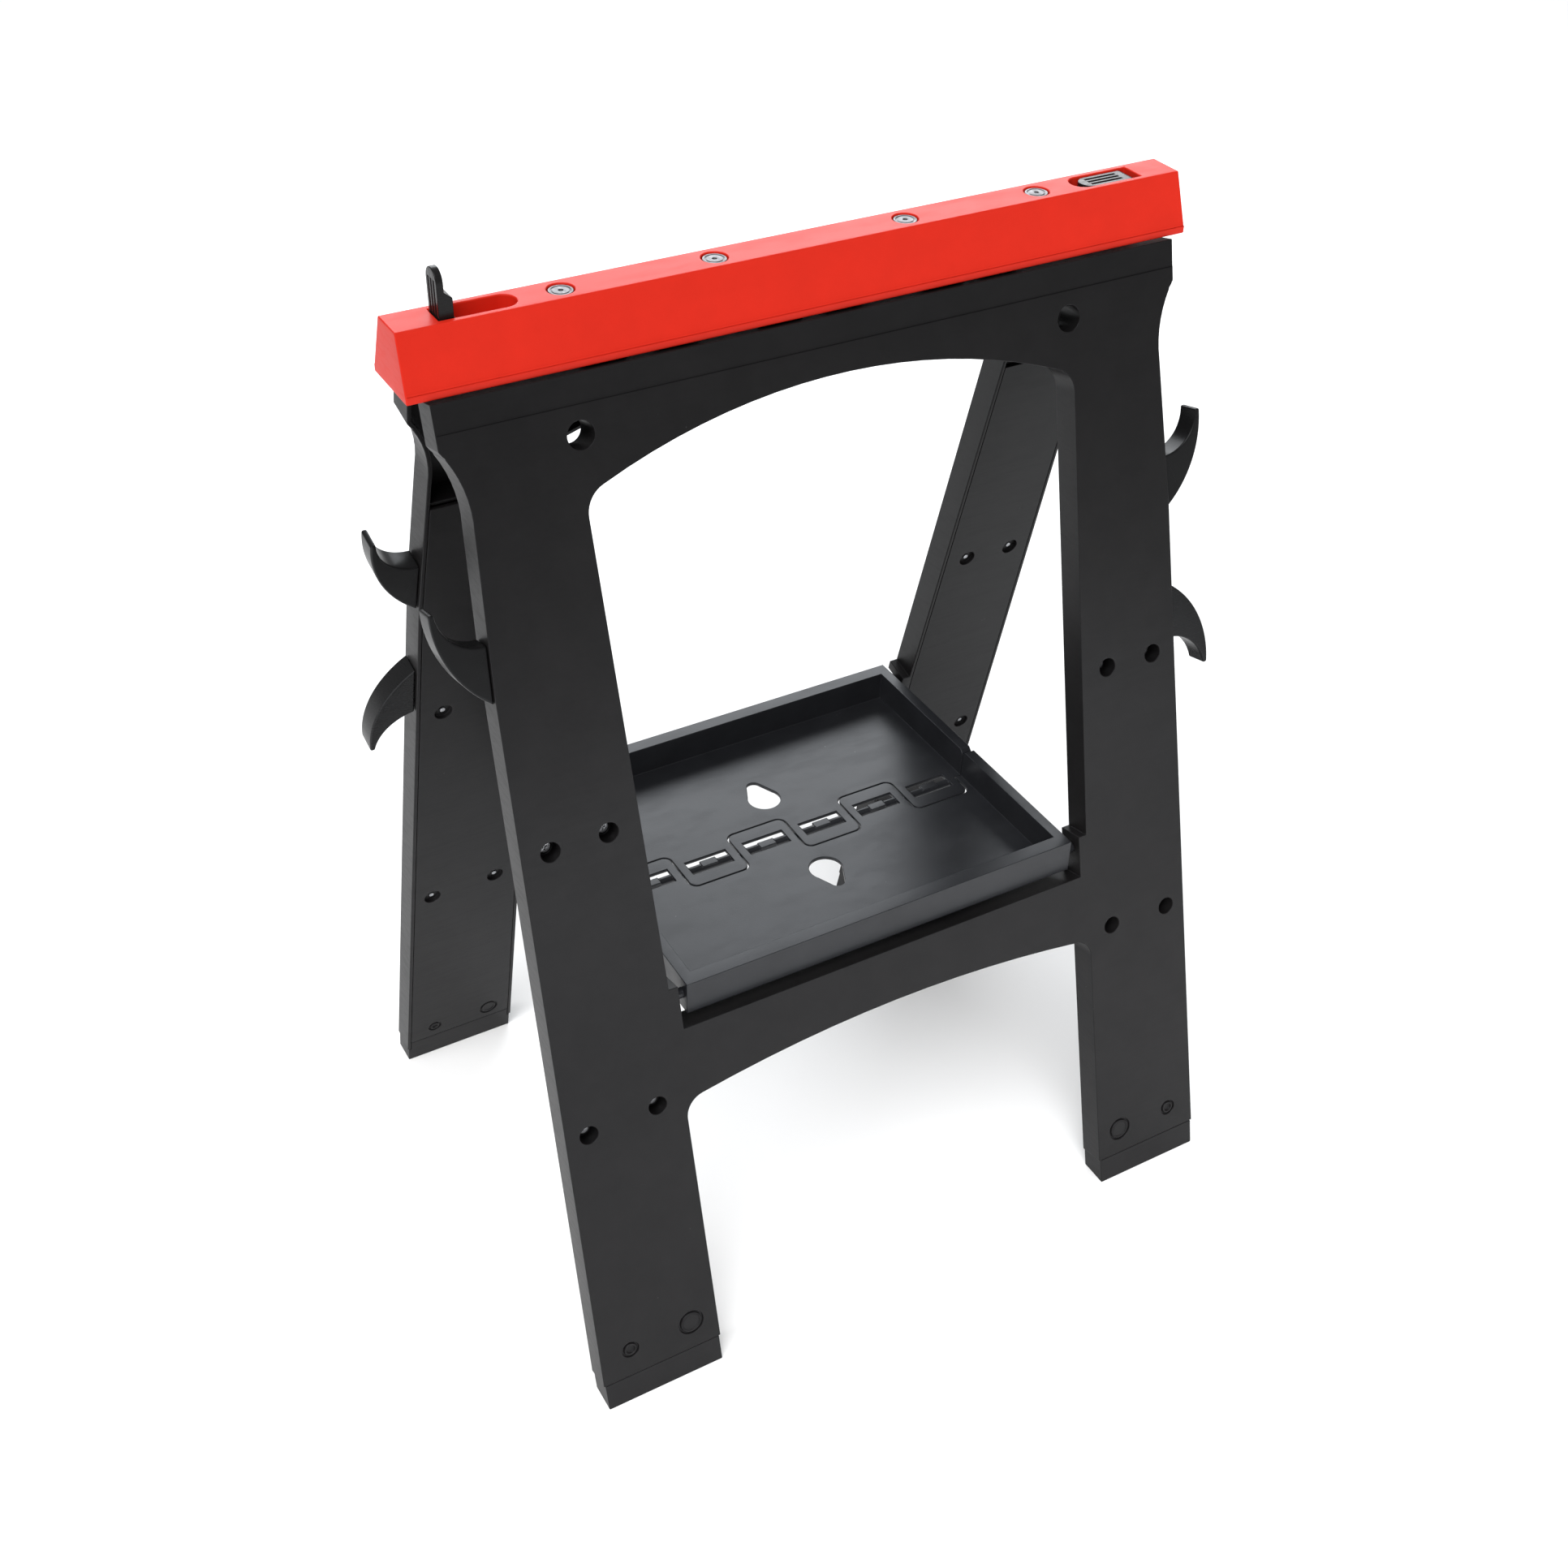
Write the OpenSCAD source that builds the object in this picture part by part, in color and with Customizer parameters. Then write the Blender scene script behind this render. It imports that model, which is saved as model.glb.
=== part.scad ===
// Folding sawhorse: a trapezoid beam cap over two splayed leg frames, hinged on one rod
// under the cap, with a two-part tray that spreads and locks them, tool hooks on the legs
// and two flip-up stops in the cap. Units are mm, Z is up and the floor is at z = 0.
// X runs along the beam and the front frame leans out towards -Y.

/* [Overall] */

// Height of the beam's top face above the floor
stand_h = 800; // [640:5:960]
// Length of the beam cap along its bottom edge
beam_l = 586; // [560:1:710]
// Angle of each leg frame from upright when the stand is open, in degrees
splay = 14.2; // [11:0.1:18]

/* [Beam cap] */

// Height of the beam cap
cap_h = 41; // [38:0.5:55]
// Width of the cap's top face
cap_top_w = 28; // [26:0.5:40]
// Width of the cap at its bottom edge
cap_bot_w = 54; // [50:0.5:70]
// Thickness of the cap's sides and ends
cap_wall = 3; // [2:0.1:4]
// Thickness of the cap's top
cap_top_t = 5; // [4:0.1:7]
// How much each end of the cap leans in from bottom to top
cap_end_taper = 1.5; // [0:0.1:4]
// Height of the lip along the cap's bottom edge
lip_h = 5.5; // [3:0.5:8]
// How far that lip stands out from the side
lip_out = 0.8; // [0.4:0.1:1.5]
// Diameter of the cap screws' heads
screw_head_d = 16; // [10:0.5:17]
// Diameter of the cap screws' shanks
screw_shank_d = 5; // [4:0.1:6]
// Distance of the two inner cap screws from the beam's middle
inner_screw_x = 71.8; // [60:0.1:90]
// Distance of the two outer cap screws from the beam's middle
outer_screw_x = 178.7; // [150:0.1:180]

/* [Stops] */

// Length of a stop from its pivot to its tip
stop_l = 38; // [32:0.5:46]
// Width of a stop
stop_w = 17; // [13:0.5:18]
// Clearance between a stop and its slot on each side
stop_gap = 0.9; // [0.4:0.1:1.5]
// Radius of a stop's round pivot end
stop_end_r = 7.2; // [6:0.1:8]
// Diameter of a stop's trunnions
trunnion_d = 4; // [3:0.1:5]
// Distance from the cap's end to the stop's pivot
stop_inset = 39; // [32:1:60]
// Finger gap between a folded stop's tip and the end of its slot
stop_tip_gap = 7.7; // [3:0.1:12]

/* [Leg frames] */

// Thickness of a leg frame
frame_t = 23; // [20:0.5:30]
// Thickness of the frame's outer plate
plate_t = 3; // [2:0.1:4]
// Thickness of the frame's edge walls and ribs
wall_t = 3; // [2:0.1:4]
// Gap between the two frames when they are folded together
fold_gap = 8; // [2:0.5:12]
// How far the cap overhangs the frame at each end
end_gap = 13; // [8:0.5:20]
// Depth of the top crossbar at the middle of its arch
top_bar = 39; // [32:1:50]
// Depth of the lower crossbar at the middle of its arch
low_bar = 45; // [35:1:60]
// Radius of the arch over the tray window
arch_r = 480; // [400:10:700]
// Radius of the arch under the lower crossbar
low_arch_r = 1080; // [800:20:1600]
// Diameter of the round holes through the top crossbar
bar_hole_d = 18.6; // [12:0.2:22]
// Diameter of the deep screw holes in the legs
deep_hole_d = 14.4; // [11:0.2:16]
// Diameter of the screw holes in the inner covers
cover_hole_d = 14; // [8:0.2:15]
// Diameter of the leg screws
leg_screw_d = 4; // [3:0.1:5]
// Height of the part of a foot that shows below its leg
foot_show = 23; // [14:1:30]
// How far a foot is set in from the edges of its leg
foot_step = 1.2; // [0.5:0.1:3]
// Radius of the small round mark low on each leg
small_mark_r = 7; // [5:0.5:8]
// Radius of the large round mark low on each leg
large_mark_r = 10.5; // [7:0.5:12]

/* [Hooks] */

// Distance of the upper hooks' lowest point below the hinge rod
upper_hook_w = 215; // [200:1:240]
// Radius of the upper hooks' hollow
upper_hook_r = 29; // [24:1:31]
// Distance of the lower hook's tip below the hinge rod
lower_hook_w = 352; // [330:1:390]
// Radius of the lower hook's hollow
lower_hook_r = 36; // [30:1:37]
// Thickness of a hook
hook_t = 18; // [12:0.5:20]

/* [Tray] */

// Length of the tray along the beam
tray_l = 340; // [280:1:360]
// Height of the tray's rim above the floor
rim_z = 326; // [260:1:420]
// Height of the tray's walls
tray_wall_h = 28; // [22:0.5:34]
// Thickness of the tray's hollow front and back walls
tray_wall_t = 12; // [9:0.5:16]
// Thickness of the tray's hollow side walls
tray_side_t = 9; // [7:0.5:12]
// Thickness of the skin of those walls
tray_skin_t = 2.5; // [1.5:0.1:3]
// Thickness of the tray's floor
tray_floor_t = 3; // [2:0.1:4]
// Number of hinge tongues on each half of the tray
tongues = 3; // [2:1:4]
// How far a tongue reaches past the hinge line
tongue_reach = 21; // [14:0.5:24]
// Gap around each tongue
tongue_gap = 1.2; // [1:0.1:2]
// Width of the window in each tongue, across the hinge line
tongue_window_w = 16; // [10:0.5:20]
// Diameter of the finger holes in the tray
finger_hole_d = 27; // [20:1:32]
// Distance of the finger holes from the hinge line
finger_hole_y = 50; // [44:1:60]
// Diameter of the tray's centre pin
tray_pin_d = 4; // [3:0.1:5]
// Diameter of the tray's end pivots
pivot_d = 8; // [6:0.1:10]

/* [Hinge] */

// Diameter of the hinge rod under the cap
rod_d = 8; // [6:0.1:10]
// Number of hinge knuckles on each frame
knuckles = 3; // [2:1:4]
// Length of one knuckle along the rod
knuckle_l = 26; // [18:1:36]
// Radial clearance of the running fits
fit = 0.05; // [0.03:0.01:0.08]

/* [Hidden] */

$fn = 64;
cut = 1;                                   // how far a cut runs past a face
slip = 0.3;                                // gap between parts that only sit together
sn = sin(splay);
cs = cos(splay);

// The hinge rod lies a little above the cap's bottom edge. In a frame, n is the distance
// out from the rod's axis, square to the frame, and w is the distance down the frame.
cap_z = stand_h - cap_h;
rod_rise = 11;                              // rod's axis above the cap's bottom edge
hinge_z = cap_z + rod_rise;
n_in = fold_gap / 2;
n_out = n_in + frame_t;
function z_at(n, w) = hinge_z + n * sn - w * cs;
function w_at(n, z) = (hinge_z + n * sn - z) / cs;
function out_at(n, w) = n * cs + w * sn;

// Beam
cap_half = beam_l / 2;
cap_room = cap_h - cap_top_t;              // height of the hollow under the cap's top
side_lean = (cap_bot_w / 2 - lip_out - cap_top_w / 2) / (cap_h - lip_h);
function cap_half_w(z) = cap_top_w / 2 + (stand_h - z) * side_lean;
cap_screw_xs = [-outer_screw_x, -inner_screw_x, inner_screw_x, outer_screw_x];
head_t = 2;
head_sink = 0.8;
head_gap = 0.9;
boss_d = 14;
core_top = stand_h - 15;                   // the core's plate carries the cap's screw bosses
core_plate = 5;
core_gap = 3;                              // room left around the core inside the cap
core_w = 2 * (cap_half_w(core_top) - cap_wall) - core_gap;
knuckle_r = rod_d / 2 + 4.5;
bearing_l = 12;

// Stops
stop_x = cap_half - stop_inset;
stop_z = stand_h - 1 - stop_end_r;
slot_w = stop_w + 2 * stop_gap;
slot_out = stop_x + stop_end_r + 0.6;
slot_in = stop_x - stop_l - stop_tip_gap;
slot_floor = stop_z - stop_end_r - 0.8;
stop_thick = 9.7;
stop_tip_t = 4.6;
stop_shoulder = 20;                        // from the pivot to where the thick part ends
trunnion_half = stop_w / 2 + 3;
pocket_floor_t = 2.5;

// The core and its hinge rod end just short of the stops' pockets. Bearings sit at each
// end and at even steps between them, with one knuckle of a frame in each step.
core_half = slot_in - cap_wall - core_gap;
rod_half = core_half - 2;
knuckle_pitch = (core_half - bearing_l) / knuckles;
function knuckle_x(i) = -(core_half - bearing_l) + knuckle_pitch * (2 * i + 0.5);
function bearing_x(i) = -(core_half - bearing_l) + knuckle_pitch * i;

// Leg frames
w_top = 18.7;                              // top edge of the frame, below the rod
w_floor = w_at(n_out, 0);
end_x = cap_half - end_gap;
end_w = w_top + 30.3;                      // where the crossbar's upright end stops
notch_w = end_w + 44;                      // where the leg's own edge starts
notch_x = end_x - 14;
notch_r = 80;
knee_w = notch_w + 120;
knee_x = end_x - 7.5;
leg_out_x = end_x + 4.3;                   // leg's outer edge at its foot
w_plate = w_floor - foot_show;             // bottom edge of the shell
cover_t = 2.5;                             // thickness of the inner covers
foot_plug = 30;                            // how far a foot reaches up inside its leg
foot_lap = 2;                              // how far that plug runs into the foot's block
w_cover = w_plate - 10;                    // bottom edge of the inner covers
w_cover_top = w_top + 105.5;

// Tray heights, then the pivots that hold it
tray_half = tray_l / 2;
floor_z = rim_z - tray_wall_h;             // underside of the tray's floor
pin_z = floor_z - 0.5;                     // centre pin, just under the floor
pivot_z = floor_z + tray_wall_h / 2 + 0.4;
pivot_n = (n_in + n_out) / 2;
pivot_w = w_at(pivot_n, pivot_z);
pivot_y = out_at(pivot_n, pivot_w);
pivot_edge = 8.2;                          // from a pivot's axis to the tray's outer face
tray_end_y = pivot_y + pivot_edge;
pivot_reach = 13;                          // length of a tray pivot past the tray's side
corner_l = 24;                             // solid corners that carry the pivots
end_solid = 8;                             // solid ends of the side walls at the hinge line

// Window and lower opening
lug_x = tray_half + 7;
leg_in_x = tray_half + 14;
win_top_x = leg_in_x + 6;
lug_w = pivot_w - 13;
win_w = pivot_w + 22.5;
arch_w = w_top + top_bar;
low_w = win_w + low_bar;
corner_r = 20;
low_corner_r = 17;
band_h = 19;
band_sink = 0.25;

// Holes, as [x, w] on the right leg
bar_hole = [lug_x + 10.3, w_top + 38.7];
deep_holes = [[notch_x - 12.6, pivot_w - 147.5], [leg_in_x + 26.3, pivot_w - 148],
              [notch_x - 4.7, pivot_w + 79], [leg_in_x + 22, pivot_w + 77]];
small_mark = [leg_out_x - 26, w_floor - 47];
large_mark = [leg_in_x + 22.5, w_floor - 47];
deep_n = n_out - 14;
web_t = 3;
leg_head_d = 8.6;
leg_head_t = 2.8;

// Hooks
hook_n = (n_in + n_out) / 2;
hook_r = 80.5;                             // radius of the hooks' backs
tip_w = upper_hook_w - 68;                 // top of the upper hooks' tips
lower_top_w = lower_hook_w - 77;           // top of the lower hook
hook_reach = 60;                           // more than a hook stands out
hook_root_x = notch_x - 4;
upper_back = [notch_x - 41.5, tip_w + 5];  // centres of the arcs that draw the hooks
upper_hollow = [notch_x + 6, tip_w];
lower_back = [notch_x - 37, lower_hook_w - 7];
lower_hollow = [notch_x + 4, lower_hook_w + 5.5];
upper_tenon_w = upper_hook_w - 20;         // middles of the tenons that hold the hooks
lower_tenon_w = lower_hook_w - 48;
tenon_w = 22;
tenon_t = 9;

// Tongues
pitch = 0.913 * tray_l / (2 * tongues);
tongue_half = (pitch - tongue_gap) / 2;
function tongue_x(i) = (2 * i - tongues + 0.5) * pitch;
tongue_corner_r = 6;
window_half = tongue_half - 7;
barrel_r = tray_pin_d / 2 + 1.3;

cap_red = [0.80, 0.07, 0.04];
black = [0.05, 0.05, 0.055];
dark = [0.03, 0.03, 0.035];
steel = [0.55, 0.56, 0.58];

// ---- helpers ----

module both() {
    children();
    mirror([1, 0, 0]) children();
}

// a drawing in x and height, standing in a frame from n0 to n1
module slab(n0, n1) {
    rotate([90, 0, 0]) translate([0, 0, n0]) linear_extrude(n1 - n0) children();
}

// a round bar square to the frame at [x, w]
module post(p, r, n0, n1) {
    rotate([90, 0, 0]) translate([p[0], -p[1], n0]) cylinder(r = r, h = n1 - n0);
}

// a block in a frame from x0 to x1, w0 to w1 and n0 to n1
module block(x0, x1, w0, w1, n0, n1) {
    translate([x0, -n1, -w1]) cube([x1 - x0, n1 - n0, w1 - w0]);
}

// a round bar along X, centred at x
module bar(r, x0, x1) {
    translate([x0, 0, 0]) rotate([0, 90, 0]) cylinder(r = r, h = x1 - x0);
}

// a section in y and z, run along X from x0 to x1
module run_x(x0, x1) {
    translate([x0, 0, 0]) rotate([90, 0, 90]) linear_extrude(x1 - x0) children();
}

module front() {
    translate([0, 0, hinge_z]) rotate([-splay, 0, 0]) children();
}

module rear() {
    rotate([0, 0, 180]) front() children();
}

// ---- beam ----

module cap_section() {
    b = cap_bot_w / 2;
    t = cap_top_w / 2;
    polygon([[-b, cap_z], [b, cap_z], [b, cap_z + lip_h], [b - lip_out, cap_z + lip_h],
             [t, stand_h], [-t, stand_h], [-(b - lip_out), cap_z + lip_h],
             [-b, cap_z + lip_h]]);
}

module cap_hollow_section() {
    b = cap_bot_w / 2 - lip_out - cap_wall;
    t = cap_half_w(cap_z + cap_room) - cap_wall;
    polygon([[-b, cap_z - cut], [b, cap_z - cut], [b, cap_z + lip_h],
             [t, cap_z + cap_room], [-t, cap_z + cap_room], [-b, cap_z + lip_h]]);
}

module cap_block() {
    intersection() {
        run_x(-cap_half, cap_half) cap_section();
        translate([0, cap_bot_w, 0]) rotate([90, 0, 0]) linear_extrude(2 * cap_bot_w)
            polygon([[-cap_half, cap_z - cut], [cap_half, cap_z - cut],
                     [cap_half, cap_z + lip_h], [cap_half - cap_end_taper, stand_h],
                     [-(cap_half - cap_end_taper), stand_h], [-cap_half, cap_z + lip_h]]);
    }
}

// the slot a stop folds into, round at its inner end
module stop_slot() {
    r = slot_w / 2;
    translate([0, 0, slot_floor]) linear_extrude(cap_h) {
        translate([slot_in + r, 0]) circle(r = r);
        translate([slot_in + r, -r]) square([slot_out - slot_in - r, slot_w]);
    }
    translate([stop_x, trunnion_half + 0.5, stop_z]) rotate([90, 0, 0])
        cylinder(r = trunnion_d / 2 + fit, h = 2 * trunnion_half + 1);
}

module beam_cap() {
    color(cap_red) difference() {
        union() {
            difference() {
                cap_block();
                run_x(-(cap_half - cap_wall - cap_end_taper), cap_half - cap_wall - cap_end_taper)
                    cap_hollow_section();
            }
            intersection() {
                cap_block();
                both() translate([slot_in - cap_wall, -cap_bot_w, slot_floor - pocket_floor_t])
                    cube([slot_out - slot_in + 2 * cap_wall, 2 * cap_bot_w, cap_h]);
            }
            for (x = cap_screw_xs) translate([x, 0, core_top])
                cylinder(d = boss_d, h = stand_h - core_top - cut);
        }
        both() stop_slot();
        for (x = cap_screw_xs) translate([x, 0, 0]) {
            translate([0, 0, stand_h - head_t - head_sink])
                cylinder(r = screw_head_d / 2 + head_gap, h = head_t + head_sink + cut);
            translate([0, 0, core_top - cut])
                cylinder(d = screw_shank_d + 0.5, h = stand_h - core_top);
        }
    }
}

module beam_core() {
    color(dark) difference() {
        union() {
            translate([-core_half, -core_w / 2, core_top - core_plate])
                cube([2 * core_half, core_w, core_plate]);
            for (i = [0:2 * knuckles]) translate([bearing_x(i) - bearing_l / 2, 0, 0]) {
                translate([0, 0, hinge_z]) bar(knuckle_r, 0, bearing_l);
                translate([0, -knuckle_r, hinge_z])
                    cube([bearing_l, 2 * knuckle_r, core_top - core_plate - hinge_z + 1]);
            }
        }
        translate([0, 0, hinge_z]) bar(rod_d / 2 + fit, -core_half, core_half);
        for (x = cap_screw_xs) translate([x, 0, core_top - core_plate - cut])
            cylinder(d = screw_shank_d + 0.1, h = core_plate + 2 * cut);
    }
}

module cap_screws() {
    color(steel) for (x = cap_screw_xs) translate([x, 0, stand_h - head_t - head_sink])
        difference() {
            union() {
                cylinder(d = screw_head_d, h = head_t);
                translate([0, 0, core_top - core_plate - stand_h + head_t + head_sink - 1])
                    cylinder(d = screw_shank_d, h = stand_h - core_top + core_plate);
            }
            translate([0, 0, head_t - 1.2]) cylinder(r = 1.6, h = 1.2 + cut);
            translate([0, 0, head_t - 0.5]) difference() {
                cylinder(r = screw_head_d / 2 - 1.5, h = 0.5 + cut);
                cylinder(r = screw_head_d / 2 - 2.4, h = 0.5 + cut);
            }
        }
}

module hinge_rod() {
    color(steel) translate([0, 0, hinge_z]) bar(rod_d / 2, -rod_half, rod_half);
}

// a stop folded flat, its pivot at the origin and its tip towards -X
module stop_shape() {
    r = stop_end_r;
    tip_r = stop_w / 2;
    difference() {
        intersection() {
            translate([0, stop_w / 2, 0]) rotate([90, 0, 0]) linear_extrude(stop_w) {
                circle(r = r);
                polygon([[0, r], [-stop_l, r], [-stop_l, r - stop_tip_t],
                         [-(stop_shoulder + 4), r - stop_tip_t], [-stop_shoulder, r - stop_thick],
                         [0, r - stop_thick]]);
            }
            translate([0, 0, -r - cut]) linear_extrude(2 * r + 2 * cut) {
                translate([tip_r - stop_l, 0]) circle(r = tip_r);
                translate([tip_r - stop_l, -tip_r]) square([stop_l - tip_r + r + cut, stop_w]);
            }
        }
        for (y = [-1, 0, 1]) translate([-stop_l + 7, y * stop_w / 4 - 0.9, r - 0.8])
            cube([stop_l - 12, 1.8, 0.8 + cut]);
    }
    translate([0, trunnion_half, 0]) rotate([90, 0, 0])
        cylinder(d = trunnion_d, h = 2 * trunnion_half);
}

module left_stop() {
    color(dark) rotate([0, 0, 180]) translate([stop_x, 0, stop_z]) rotate([0, 90, 0]) stop_shape();
}

module right_stop() {
    color(black) translate([stop_x, 0, stop_z]) stop_shape();
}

// ---- leg frames ----

// an opening with an arched top and rounded corners, grown by e all round
module arch_gap(w, r, half, corner, e) {
    cx = half - corner;
    h0 = -(w + r);
    cy = h0 + sqrt(pow(r - corner, 2) - pow(cx, 2));
    k = 1.1;
    intersection() {
        translate([0, h0]) circle(r = r + e, $fn = 180);
        polygon([[-cx, cy], [-k * cx, h0 + k * (cy - h0)], [-k * cx, 0], [k * cx, 0],
                 [k * cx, h0 + k * (cy - h0)], [cx, cy]]);
    }
    both() translate([cx, cy]) circle(r = corner + e);
}

function arch_side(w, r, half, corner) =
    -(w + r) + sqrt(pow(r - corner, 2) - pow(half - corner, 2));

module tray_window_2d(e) {
    top = arch_side(arch_w, arch_r, win_top_x, corner_r);
    arch_gap(arch_w, arch_r, win_top_x, corner_r, e);
    both() polygon([[0, top], [win_top_x + e, top], [leg_in_x + e, -(lug_w + e)],
                    [lug_x + e, -(lug_w + e)], [lug_x + e, -(win_w + e)], [0, -(win_w + e)]]);
}

module low_gap_2d(e) {
    top = arch_side(low_w, low_arch_r, leg_in_x, low_corner_r);
    arch_gap(low_w, low_arch_r, leg_in_x, low_corner_r, e);
    both() polygon([[0, top], [leg_in_x + e, top], [leg_in_x + e, -(w_floor + 40)],
                    [0, -(w_floor + 40)]]);
}

// the frame's outline drawn e inside its edges, reaching down to w = low
module frame_2d(e, low) {
    difference() {
        both() polygon([[0, -(w_top + e)], [end_x - e, -(w_top + e)], [end_x - e, -end_w],
                        [end_x - 3.5 - e, -(end_w + 3.5)], [notch_x + 6 - e, -(notch_w - 4)],
                        [notch_x - e, -notch_w], [knee_x - e, -knee_w],
                        [leg_out_x - e, -w_plate], [leg_out_x - e, -low], [0, -low]]);
        both() translate([notch_x + notch_r, -notch_w]) circle(r = notch_r + e);
        tray_window_2d(e);
        low_gap_2d(e);
    }
}

module shell_ribs() {
    intersection() {
        slab(n_in + cover_t + slip, n_out - 1) union() {
            both() translate([win_top_x, -(arch_w + 60)]) square([wall_t, 60 + top_bar]);
            both() translate([leg_in_x, -(low_w + 30)]) square([wall_t, low_w - win_w + 30]);
            both() translate([leg_in_x, -(w_cover_top - slip)]) square([end_x, wall_t]);
            both() translate([leg_in_x, -(w_plate - 36)]) square([end_x, wall_t]);
            for (k = [-2:2]) translate([k * win_top_x / 3 - 1.2, -low_w - 20])
                square([2.4, low_w]);
        }
        slab(n_in, n_out) frame_2d(0.5, w_plate);
    }
}

module knuckle() {
    bar(knuckle_r, -knuckle_l / 2, knuckle_l / 2);
    run_x(-knuckle_l / 2, knuckle_l / 2)
        polygon([[-knuckle_r, 1], [knuckle_r * 0.6, -knuckle_r * 0.8], [-n_in, -(w_top - 4)],
                 [-n_in, -(w_top + 1)], [-(n_in + 14), -(w_top + 1)]]);
}

// where the tray's pivot sits: a round bore, or a seat that opens outwards
module pivot_seat(open) {
    r = pivot_d / 2 + fit;
    reach = tray_half + pivot_reach + 0.6;
    both() translate([0, -pivot_n, -pivot_w]) {
        bar(r, lug_x - 8, reach);
        if (open) {
            run_x(lug_x - 8, reach)
                polygon([[0, r], [0, -r], [-40, -r - 40 * tan(splay) - 0.6], [-40, r + 0.4]]);
        }
    }
}

// a round mark sunk into a face: a groove of radius r around a raised ring and a dish
module round_mark(p, r, n_face, dir, groove, dish) {
    groove_t = 1.9;
    rim_t = 1.5;
    module sunk(radius, depth) {
        post(p, radius, n_face - (dir > 0 ? depth : cut), n_face + (dir > 0 ? cut : depth));
    }
    difference() {
        sunk(r, groove);
        post(p, r - groove_t, n_face - 2 * groove, n_face + 2 * groove);
    }
    sunk(r - groove_t - rim_t, dish);
}

module tenon_slot(s, w) {
    x = s * notch_x;
    block(x - 14, x + 14, w - tenon_w / 2 - slip, w + tenon_w / 2 + slip,
          hook_n - tenon_t / 2 - slip, hook_n + tenon_t / 2 + slip);
}

module shell(open) {
    color(black) difference() {
        union() {
            difference() {
                slab(n_in, n_out) frame_2d(0, w_plate);
                slab(n_in - cut, n_out - plate_t) frame_2d(wall_t, w_plate + cut);
            }
            shell_ribs();
            both() block(lug_x + 0.5, leg_in_x + wall_t, lug_w + 0.5, pivot_w + 14, n_in, n_out - 1);
            both() {
                post(bar_hole, bar_hole_d / 2 + 2.4, n_in, n_out - 1);
                for (p = deep_holes) post(p, deep_hole_d / 2 + 2.6, deep_n - web_t, n_out - 1);
            }
            for (i = [0:knuckles - 1]) translate([knuckle_x(i), 0, 0]) knuckle();
        }
        both() {
            post(bar_hole, bar_hole_d / 2, n_in - cut, n_out + cut);
            for (p = deep_holes) {
                post(p, deep_hole_d / 2, deep_n, n_out + cut);
                post(p, leg_screw_d / 2 + slip, deep_n - 2 * web_t, n_out);
            }
            round_mark(small_mark, small_mark_r, n_out, 1, 2, 1.6);
            round_mark(large_mark, large_mark_r, n_out, 1, 2, 0.5);
        }
        bar(rod_d / 2 + fit, -core_half, core_half);
        // a shallow band along the top edge
        block(-end_x - 9, end_x + 9, w_top - 9, w_top + band_h, n_out - band_sink, n_out + 9);
        pivot_seat(open);
        tenon_slot(-1, upper_tenon_w);
        tenon_slot(1, upper_tenon_w);
        tenon_slot(1, lower_tenon_w);
    }
}

// the inner cover of the right leg
module cover() {
    top = n_in + cover_t;
    color(black) difference() {
        union() {
            intersection() {
                slab(n_in, top) frame_2d(wall_t + slip, w_plate);
                block(leg_in_x + wall_t + slip, end_x + 40, w_cover_top + slip, w_cover,
                      n_in - cut, n_out);
            }
            for (p = deep_holes) post(p, cover_hole_d / 2 + 2.5, n_in, deep_n - web_t - slip);
        }
        for (p = deep_holes) {
            post(p, cover_hole_d / 2, n_in - cut, n_in + 3.4);
            post(p, leg_screw_d / 2 + fit, n_in, deep_n);
        }
        round_mark(small_mark, small_mark_r - 1, n_in, -1, 1.5, 1.2);
        round_mark(large_mark, large_mark_r - 2, n_in, -1, 1.5, 0.5);
    }
}

// the foot of the right leg: a plug inside the shell and a block under it
module foot() {
    intersection() {
        slab(n_in + cover_t + slip, n_out - plate_t - slip)
            frame_2d(wall_t + slip, w_plate + foot_lap);
        block(leg_in_x, end_x + 40, w_plate - foot_plug, w_plate + foot_lap, n_in, n_out);
    }
    intersection() {
        slab(n_in, n_out - plate_t - slip) frame_2d(wall_t + slip, w_plate + foot_lap);
        block(leg_in_x, end_x + 40, w_cover + slip, w_plate + foot_lap, n_in, n_out);
    }
    block(leg_in_x + foot_step, leg_out_x - foot_step, w_plate + slip, w_floor + 12, n_in, n_out);
}

module above_floor() {
    difference() {
        children();
        translate([-beam_l, -stand_h, -200]) cube([2 * beam_l, 2 * stand_h, 200]);
    }
}

module hook_blank() {
    difference() {
        slab(hook_n - hook_t / 2, hook_n + hook_t / 2) children();
        slab(0, n_out + 9) frame_2d(-slip, w_plate);
    }
}

// a hook that points up, between an outer and an inner arc
module upper_hook() {
    hook_blank() difference() {
        intersection() {
            translate([upper_back[0], -upper_back[1]]) circle(r = hook_r);
            translate([hook_root_x, -(upper_hook_w + 5)])
                square([hook_reach, upper_hook_w + 5 - tip_w]);
        }
        translate([upper_hollow[0], -upper_hollow[1]]) circle(r = upper_hook_r);
    }
    hook_tenon(upper_tenon_w);
}

// a hook that points down
module lower_hook() {
    hook_blank() difference() {
        intersection() {
            translate([lower_back[0], -lower_back[1]]) circle(r = hook_r);
            translate([hook_root_x, -lower_hook_w])
                square([hook_reach, lower_hook_w - lower_top_w]);
        }
        translate([lower_hollow[0], -lower_hollow[1]]) circle(r = lower_hook_r);
    }
    hook_tenon(lower_tenon_w);
}

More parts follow.
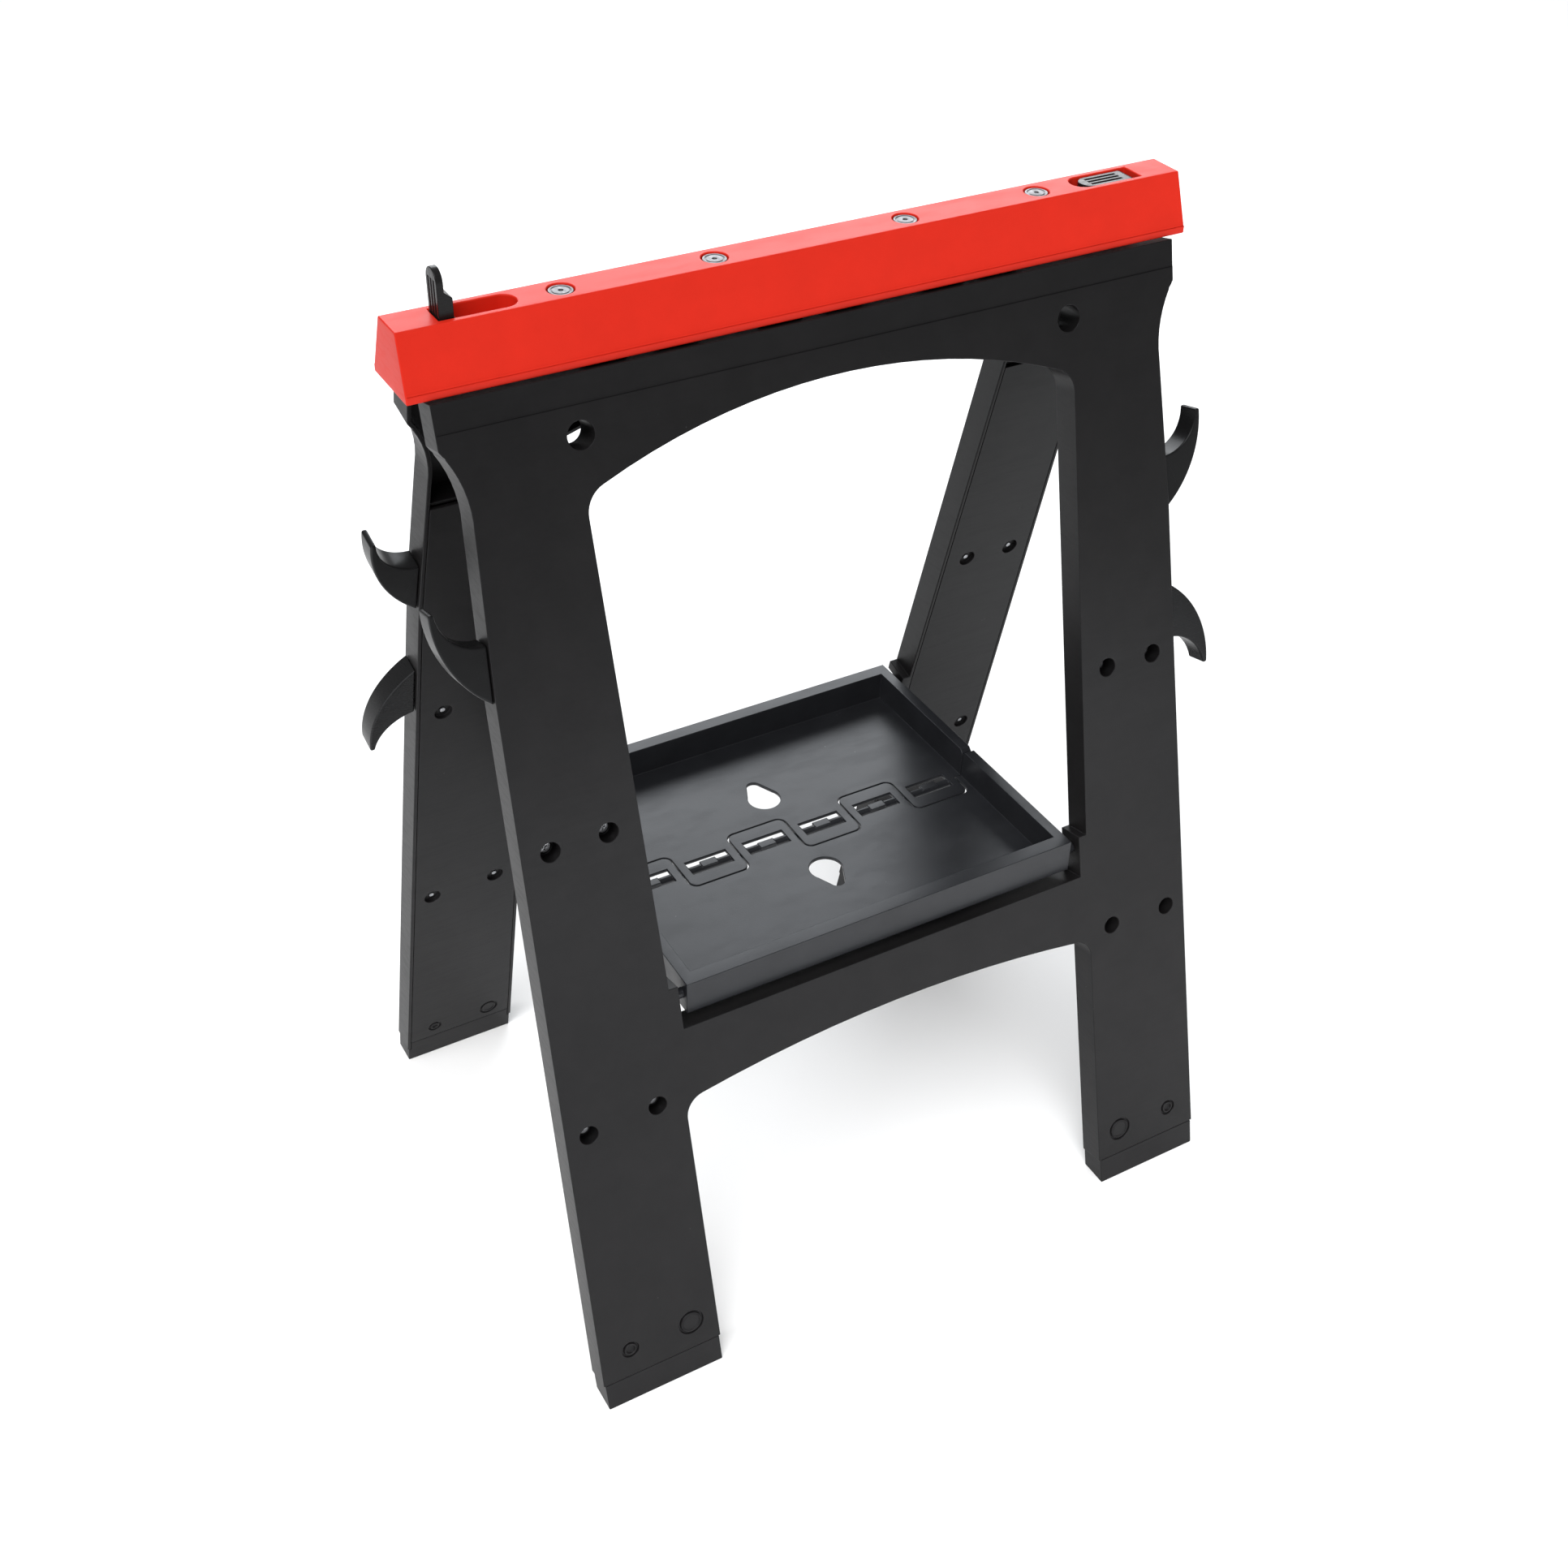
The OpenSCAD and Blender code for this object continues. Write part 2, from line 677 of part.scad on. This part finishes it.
// the flat tongue that holds a hook in its leg
module hook_tenon(w) {
    x = notch_x + 6.5 * (w - notch_w) / (knee_w - notch_w);
    block(min(x, knee_x + 3) - 9, min(x, knee_x + 3) + 2.5, w - tenon_w / 2, w + tenon_w / 2,
          hook_n - tenon_t / 2, hook_n + tenon_t / 2);
}

module leg_screws() {
    color(steel) both() for (p = deep_holes) difference() {
        union() {
            post(p, leg_head_d / 2, deep_n, deep_n + leg_head_t);
            post(p, leg_screw_d / 2, n_in + 2.2, deep_n + 1);
        }
        for (a = [0, 90]) rotate([90, 0, 0]) translate([p[0], -p[1], deep_n + 1.6]) rotate(a)
            translate([-2.4, -0.5, 0]) cube([4.8, 1, 2]);
    }
}

// ---- tray ----

// a tongue in plan, from the hinge line to its tip, grown by g
module tongue_2d(g) {
    h = tongue_half + g;
    y = tongue_reach + g;
    r = tongue_corner_r + g;
    translate([-h, -1]) square([2 * h, y - r + 1]);
    translate([-(h - r), -1]) square([2 * (h - r), y + 1]);
    both() translate([h - r, y - r]) circle(r = r);
}

// a finger hole in plan, narrowing away from the hinge line
module finger_hole_2d() {
    r = finger_hole_d / 2;
    tip_r = 0.45 * r;
    d = 1.3 * r;
    a = acos((r - tip_r) / d);
    k = 0.985;                             // the sides cross both circles just inside
    x0 = k * r * sin(a);
    x1 = k * tip_r * sin(a);
    translate([0, -finger_hole_y]) {
        circle(r = r);
        translate([0, -d]) circle(r = tip_r);
        polygon([[x0, -k * r * cos(a)], [-x0, -k * r * cos(a)],
                 [-x1, -d - k * tip_r * cos(a)], [x1, -d - k * tip_r * cos(a)]]);
    }
}

// grooves that hollow the walls from below
module wall_hollows() {
    h = tray_wall_h - tray_skin_t + cut;
    translate([-(tray_half - corner_l), -(tray_end_y - tray_skin_t), floor_z - cut])
        cube([tray_l - 2 * corner_l, tray_wall_t - 2 * tray_skin_t, h]);
    both() translate([tray_half - tray_side_t + tray_skin_t, -(tray_end_y - corner_l),
                      floor_z - cut])
        cube([tray_side_t - 2 * tray_skin_t, tray_end_y - corner_l - end_solid, h]);
}

module tray_side_wall() {
    difference() {
        translate([tray_half - tray_side_t, -tray_end_y, floor_z])
            cube([tray_side_t, tray_end_y - slip, tray_wall_h]);
        // the notch where the two rims meet
        translate([0, -slip, rim_z]) rotate([45, 0, 0]) translate([0, -2.2, -2.2])
            cube([beam_l, 4.4, 4.4]);
    }
}

// one half of the tray with its own pivots, before its hinge barrels
module tray_tub() {
    difference() {
        union() {
            translate([-tray_half, -tray_end_y, floor_z])
                cube([tray_l, tray_end_y - slip, tray_floor_t]);
            for (i = [0:tongues - 1]) translate([tongue_x(i), 0, floor_z])
                linear_extrude(tray_floor_t) tongue_2d(0);
            translate([-tray_half, -tray_end_y, floor_z])
                cube([tray_l, tray_wall_t, tray_wall_h]);
            both() tray_side_wall();
            both() translate([0, -pivot_y, pivot_z])
                bar(pivot_d / 2, tray_half - 1, tray_half + pivot_reach);
        }
        wall_hollows();
        translate([0, 0, floor_z - cut]) linear_extrude(tray_floor_t + 2 * cut) {
            finger_hole_2d();
            for (i = [0:tongues - 1]) {
                translate([-tongue_x(i), 0]) rotate(180) tongue_2d(tongue_gap);
                translate([tongue_x(i) - window_half, -tongue_window_w / 2])
                    square([2 * window_half, tongue_window_w]);
            }
        }
    }
}

// each tongue's barrel crosses its window, with a flat block in the middle
module tray_barrels() {
    for (i = [0:tongues - 1]) translate([tongue_x(i), 0, pin_z]) {
        bar(barrel_r, -tongue_half, tongue_half);
        translate([-7, -barrel_r - 1, -1]) cube([14, 2 * barrel_r + 0.5, barrel_r + 1.1]);
    }
}

module tray_side() {
    difference() {
        union() {
            tray_tub();
            tray_barrels();
        }
        translate([0, 0, pin_z])
            bar(tray_pin_d / 2 + fit, -(tray_half - tray_side_t), tray_half - tray_side_t);
    }
}

module tray_pin() {
    x = tongues * pitch - 0.5;
    color(steel) translate([0, 0, pin_z]) bar(tray_pin_d / 2, -x, x);
}

// ---- nodes ----

beam_cap();
beam_core();
cap_screws();
hinge_rod();
left_stop();
right_stop();
front() shell(false);  // front_shell
front() mirror([1, 0, 0]) cover();  // front_left_cover
front() cover();  // front_right_cover
color(dark) above_floor() front() mirror([1, 0, 0]) foot();  // front_left_foot
color(dark) above_floor() front() foot();  // front_right_foot
color(dark) front() mirror([1, 0, 0]) upper_hook();  // front_left_hook
color(dark) front() upper_hook();  // front_right_hook
color(dark) front() lower_hook();  // front_lower_hook
front() leg_screws();  // front_screws
rear() shell(true);  // rear_shell
rear() cover();  // rear_left_cover
rear() mirror([1, 0, 0]) cover();  // rear_right_cover
color(dark) above_floor() rear() foot();  // rear_left_foot
color(dark) above_floor() rear() mirror([1, 0, 0]) foot();  // rear_right_foot
color(dark) rear() upper_hook();  // rear_left_hook
color(dark) rear() mirror([1, 0, 0]) upper_hook();  // rear_right_hook
color(dark) rear() lower_hook();  // rear_lower_hook
rear() leg_screws();  // rear_screws
color(black) tray_side();  // front_tray
color(black) rotate([0, 0, 180]) tray_side();  // rear_tray
tray_pin();
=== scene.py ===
import math

import bpy
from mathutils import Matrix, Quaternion, Vector

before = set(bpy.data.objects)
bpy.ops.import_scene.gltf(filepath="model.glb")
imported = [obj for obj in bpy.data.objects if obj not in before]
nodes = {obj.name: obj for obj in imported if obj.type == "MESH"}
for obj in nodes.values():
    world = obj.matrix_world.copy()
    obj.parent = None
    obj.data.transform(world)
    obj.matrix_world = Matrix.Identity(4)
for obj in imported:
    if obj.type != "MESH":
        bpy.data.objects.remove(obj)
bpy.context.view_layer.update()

# ---------------------------------------------------------------- materials

SPARK = 0.00006        # depth of the fine moulded grain, in metres
RIPPLE = 0.0012        # depth of the slow waves in a moulded face
DUST = (0.42, 0.42, 0.43)
COOL = (0.94, 0.965, 1.0, 1.0)   # tint of the reflections in the plastic


class Nodes:
    """A small helper that adds shader nodes and joins them."""

    def __init__(self, name):
        self.material = bpy.data.materials.new(name)
        self.material.use_nodes = True
        self.tree = self.material.node_tree
        self.tree.nodes.clear()
        self.shader = self.add("ShaderNodeBsdfPrincipled")
        out = self.add("ShaderNodeOutputMaterial")
        self.join(self.shader, "BSDF", out, "Surface")
        self.coords = self.add("ShaderNodeTexCoord")

    def add(self, kind, **settings):
        node = self.tree.nodes.new(kind)
        for key, value in settings.items():
            setattr(node, key, value)
        return node

    def join(self, a, out, b, into):
        self.tree.links.new(a.outputs[out], b.inputs[into])

    def drive(self, socket, into):
        """Feeds a socket into one of the shader's inputs."""
        self.tree.links.new(socket, self.shader.inputs[into])

    def noise(self, scale, detail=4.0, rough=0.55, stretch=(1, 1, 1), distortion=0.0):
        mapping = self.add("ShaderNodeMapping")
        mapping.inputs["Scale"].default_value = stretch
        self.join(self.coords, "Object", mapping, "Vector")
        noise = self.add("ShaderNodeTexNoise")
        noise.inputs["Scale"].default_value = scale
        noise.inputs["Detail"].default_value = detail
        noise.inputs["Roughness"].default_value = rough
        noise.inputs["Distortion"].default_value = distortion
        self.join(mapping, "Vector", noise, "Vector")
        return noise

    def ramp(self, source, out, stops):
        ramp = self.add("ShaderNodeValToRGB")
        elements = ramp.color_ramp.elements
        while len(elements) < len(stops):
            elements.new(0.5)
        for element, (place, colour) in zip(elements, stops):
            element.position = place
            if not isinstance(colour, tuple):
                colour = (colour, colour, colour)
            element.color = (*colour, 1.0)
        self.join(source, out, ramp, "Fac")
        return ramp.outputs["Color"]

    def mix(self, kind, factor, a, b):
        """Mixes two colours and returns the result's socket; each value is a socket or plain."""
        mix = self.add("ShaderNodeMix", data_type="RGBA", blend_type=kind)
        for value, place in ((factor, 0), (a, 6), (b, 7)):
            if isinstance(value, bpy.types.NodeSocket):
                self.tree.links.new(value, mix.inputs[place])
            elif place == 0:
                mix.inputs[0].default_value = value
            else:
                mix.inputs[place].default_value = (*value, 1.0)
        return mix.outputs[2]

    def bumps(self, layers):
        """Stacks bump layers, given as (node, output, strength, depth in metres)."""
        last = None
        for node, out, strength, depth in layers:
            bump = self.add("ShaderNodeBump")
            bump.inputs["Strength"].default_value = strength
            bump.inputs["Distance"].default_value = depth
            self.join(node, out, bump, "Height")
            if last is not None:
                self.join(last, "Normal", bump, "Normal")
            last = bump
        self.join(last, "Normal", self.shader, "Normal")


def moulded(name, base, worn, rough, specular, grain=900.0, grain_depth=SPARK, speck=0.35,
            scratch=0.3, mottle=0.12, ripple=RIPPLE):
    """Injection-moulded plastic: fine spark grain, soft flow mottling, dust specks and rubs.

    The colour drifts between base and worn. Speck is how strongly dust shows and scratch is
    how much of the gloss comes from the rubs.
    """
    m = Nodes(name)
    flow = m.noise(5.0, 3.0, 0.5, (1.0, 1.0, 0.5), 0.6)
    patch = m.noise(38.0, 5.0, 0.6)
    fine = m.noise(grain, 2.0, 0.5)
    tint = m.ramp(flow, "Fac", [(0.3, 0.0), (0.75, 1.0)])
    cloud = m.ramp(patch, "Fac", [(0.35, 1.0 - mottle), (0.7, 1.0 + mottle)])
    colour = m.mix("MULTIPLY", 1.0, m.mix("MIX", tint, base, worn), cloud)
    # dust: sparse pale dots
    dots = m.add("ShaderNodeTexVoronoi")
    dots.inputs["Scale"].default_value = 95.0
    m.join(m.coords, "Object", dots, "Vector")
    dot = m.ramp(dots, "Distance", [(0.0, speck), (0.055, 0.0)])
    few = m.ramp(m.noise(21.0, 2.0), "Fac", [(0.6, 0.0), (0.7, 1.0)])
    dust = m.mix("MULTIPLY", 1.0, dot, few)
    m.drive(m.mix("MIX", dust, colour, DUST), "Base Color")
    # rubs: long thin streaks that change the gloss
    streak = m.noise(60.0, 3.0, 0.7, (0.35, 1.0, 6.0), 0.3)
    rub = m.ramp(streak, "Fac", [(0.45, rough - 0.07), (0.62, rough + 0.07)])
    haze = m.ramp(flow, "Fac", [(0.3, rough - 0.04), (0.7, rough + 0.05)])
    m.drive(m.mix("MIX", scratch, haze, rub), "Roughness")
    m.shader.inputs["Specular IOR Level"].default_value = specular
    m.shader.inputs["Specular Tint"].default_value = COOL
    m.bumps([(flow, "Fac", 0.35, ripple), (fine, "Fac", 0.6, grain_depth),
             (streak, "Fac", 0.06, 0.0001)])
    return m.material


def metal(name, tone, rough, grain=400.0):
    """Zinc-plated steel with a turned grain and a little tarnish."""
    m = Nodes(name)
    cloud = m.noise(55.0, 4.0, 0.6)
    turn = m.noise(grain, 3.0, 0.6, (1.0, 0.2, 1.0))
    dull = tuple(0.55 * c for c in tone)
    m.drive(m.ramp(cloud, "Fac", [(0.35, tone), (0.7, dull)]), "Base Color")
    m.shader.inputs["Metallic"].default_value = 1.0
    m.drive(m.ramp(turn, "Fac", [(0.3, rough - 0.08), (0.7, rough + 0.12)]), "Roughness")
    m.bumps([(turn, "Fac", 0.5, 0.00005), (cloud, "Fac", 0.3, 0.0002)])
    return m.material


MATERIALS = {
    "red": moulded("red_plastic", (0.70, 0.026, 0.012), (0.65, 0.022, 0.010), 0.38, 0.12,
                   grain=700.0, grain_depth=0.00005, speck=0.12, scratch=0.35, mottle=0.03,
                   ripple=0.0003),
    "black": moulded("black_plastic", (0.0066, 0.0062, 0.0065), (0.0090, 0.0084, 0.0086),
                     0.42, 0.17),
    "tray": moulded("tray_plastic", (0.0115, 0.0122, 0.0145), (0.0155, 0.016, 0.018),
                    0.34, 0.27, speck=0.5),
    "foot": moulded("foot_plastic", (0.0075, 0.0070, 0.0075), (0.0098, 0.0092, 0.0095),
                    0.45, 0.17),
    "hook": moulded("hook_plastic", (0.0065, 0.0065, 0.0068), (0.009, 0.009, 0.0092),
                    0.3, 0.14),
    "stop": moulded("stop_plastic", (0.0075, 0.0070, 0.0070), (0.010, 0.0095, 0.0095),
                    0.28, 0.2, speck=0.1),
    "steel": metal("steel", (0.20, 0.20, 0.21), 0.42),
    "rod": metal("rod_steel", (0.45, 0.46, 0.48), 0.36),
}

# ---------------------------------------------------------------- the pieces


WELD_GAP = 0.00001
SHARP = math.radians(30)         # edges that turn more than this are rounded


def finish_node(name, material, bevel=0.0, segments=2):
    """Gives a CAD node its material and rounds its sharp edges the way a mould does."""
    piece = nodes[name]
    piece.data.materials.clear()
    piece.data.materials.append(MATERIALS[material])
    for polygon in piece.data.polygons:
        polygon.use_smooth = True
    weld = piece.modifiers.new("weld", "WELD")
    weld.merge_threshold = WELD_GAP
    if bevel:
        edge = piece.modifiers.new("edge", "BEVEL")
        edge.width = bevel
        edge.segments = segments
        edge.limit_method = "ANGLE"
        edge.angle_limit = SHARP
        edge.use_clamp_overlap = False
        edge.loop_slide = False
    shade = piece.modifiers.new("shade", "WEIGHTED_NORMAL")
    shade.mode = "FACE_AREA"
    shade.weight = 50
    shade.keep_sharp = False


finish_node("beam_cap", "red", 0.0009, 3)
finish_node("beam_core", "black")
finish_node("cap_screws", "steel", 0.0003)
finish_node("hinge_rod", "rod", 0.0003)
finish_node("left_stop", "stop", 0.0006, 3)
finish_node("right_stop", "stop", 0.0005)
for side in ("front", "rear"):
    finish_node(side + "_shell", "black", 0.0006)
    for cover in ("_left_cover", "_right_cover"):
        finish_node(side + cover, "black", 0.0004)
    for foot in ("_left_foot", "_right_foot"):
        finish_node(side + foot, "foot", 0.0008)
    for hook in ("_left_hook", "_right_hook", "_lower_hook"):
        finish_node(side + hook, "hook", 0.0014, 4)
    finish_node(side + "_screws", "rod", 0.0002)
    finish_node(side + "_tray", "tray", 0.0005)
finish_node("tray_pin", "rod", 0.0002)

# ---------------------------------------------------------------- stage


def plain(name, colour, roughness):
    m = Nodes(name)
    m.shader.inputs["Base Color"].default_value = (*colour, 1.0)
    m.shader.inputs["Roughness"].default_value = roughness
    return m.material


bpy.ops.mesh.primitive_plane_add(size=14.0, location=(0, 0, 0))
floor = bpy.context.active_object
floor.name = "floor"
floor.data.materials.append(plain("floor", (0.86, 0.86, 0.86), 0.9))

world = bpy.data.worlds.new("studio")
bpy.context.scene.world = world
world.use_nodes = True
background = world.node_tree.nodes["Background"]
background.inputs["Color"].default_value = (1.0, 1.0, 1.0, 1.0)
background.inputs["Strength"].default_value = 0.45


def daylight(name, towards, strength, spread):
    """A broad soft light that comes from one direction."""
    light = bpy.data.lights.new(name, "SUN")
    light.energy = strength
    light.angle = math.radians(spread)
    lamp = bpy.data.objects.new(name, light)
    bpy.context.scene.collection.objects.link(lamp)
    lamp.rotation_euler = (-Vector(towards)).to_track_quat("-Z", "Y").to_euler()
    return lamp


def panel(name, place, aim, size, power, colour=(1, 1, 1)):
    """A soft box light at a place, turned towards a point."""
    light = bpy.data.lights.new(name, "AREA")
    light.shape = "RECTANGLE"
    light.size, light.size_y = size
    light.energy = power
    light.color = colour
    box = bpy.data.objects.new(name, light)
    bpy.context.scene.collection.objects.link(box)
    box.location = place
    box.rotation_euler = (Vector(aim) - Vector(place)).to_track_quat("-Z", "Y").to_euler()
    return box


daylight("sky", (-0.55, -0.5, 1.0), 2.4, 45)
panel("back", (1.0, 2.4, 2.1), (0.1, 0, 0.5), (2.6, 1.6), 68, (0.94, 0.97, 1.0))
panel("side", (-0.8, -0.1, 0.4), (-0.5, -0.1, 0.0), (0.3, 0.8), 3)
panel("front", (0.05, -0.72, 0.3), (0.05, -0.42, 0.0), (1.3, 0.25), 3.5)

# ---------------------------------------------------------------- camera

camera_data = bpy.data.cameras.new("camera")
camera = bpy.data.objects.new("camera", camera_data)
bpy.context.scene.collection.objects.link(camera)
camera_data.sensor_width = 36.0
camera_data.lens = 44.69
camera_data.clip_start = 0.05
camera.location = (-0.6274, -1.0439, 1.2931)
yaw, pitch, roll = (math.radians(a) for a in (30.566, -37.751, 1.43))
look = Vector((math.sin(yaw) * math.cos(pitch), math.cos(yaw) * math.cos(pitch), math.sin(pitch)))
camera.rotation_mode = "QUATERNION"
camera.rotation_quaternion = look.to_track_quat("-Z", "Y") @ Quaternion((0, 0, 1), roll)
bpy.context.scene.camera = camera

bpy.context.scene.view_settings.view_transform = "Standard"
